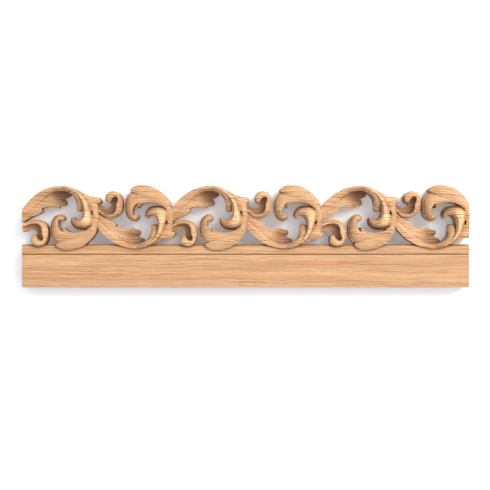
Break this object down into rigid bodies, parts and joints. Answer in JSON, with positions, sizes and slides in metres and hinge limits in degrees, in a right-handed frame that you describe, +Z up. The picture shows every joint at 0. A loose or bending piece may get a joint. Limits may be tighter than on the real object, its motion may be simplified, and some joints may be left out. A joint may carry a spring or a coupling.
{
  "type": "carved openwork batten",
  "caption": "Wooden batten: a plain strip with a fine groove and a pierced running scroll of carved acanthus leaves on its top edge.",
  "frame": {"origin": "on the flat back, at the middle of the plain strip's length and height", "axes": "+X along the batten, +Y out of the flat back into the wall, +Z up towards the carved edge"},
  "size_m": [0.27, 0.0135, 0.0617],
  "materials": {
    "wood": "planed and carved light oak, bare, with a fine lengthwise grain"
  },
  "bodies": {
    "root": {"carved_batten": "wood"}
  },
  "joints": []
}
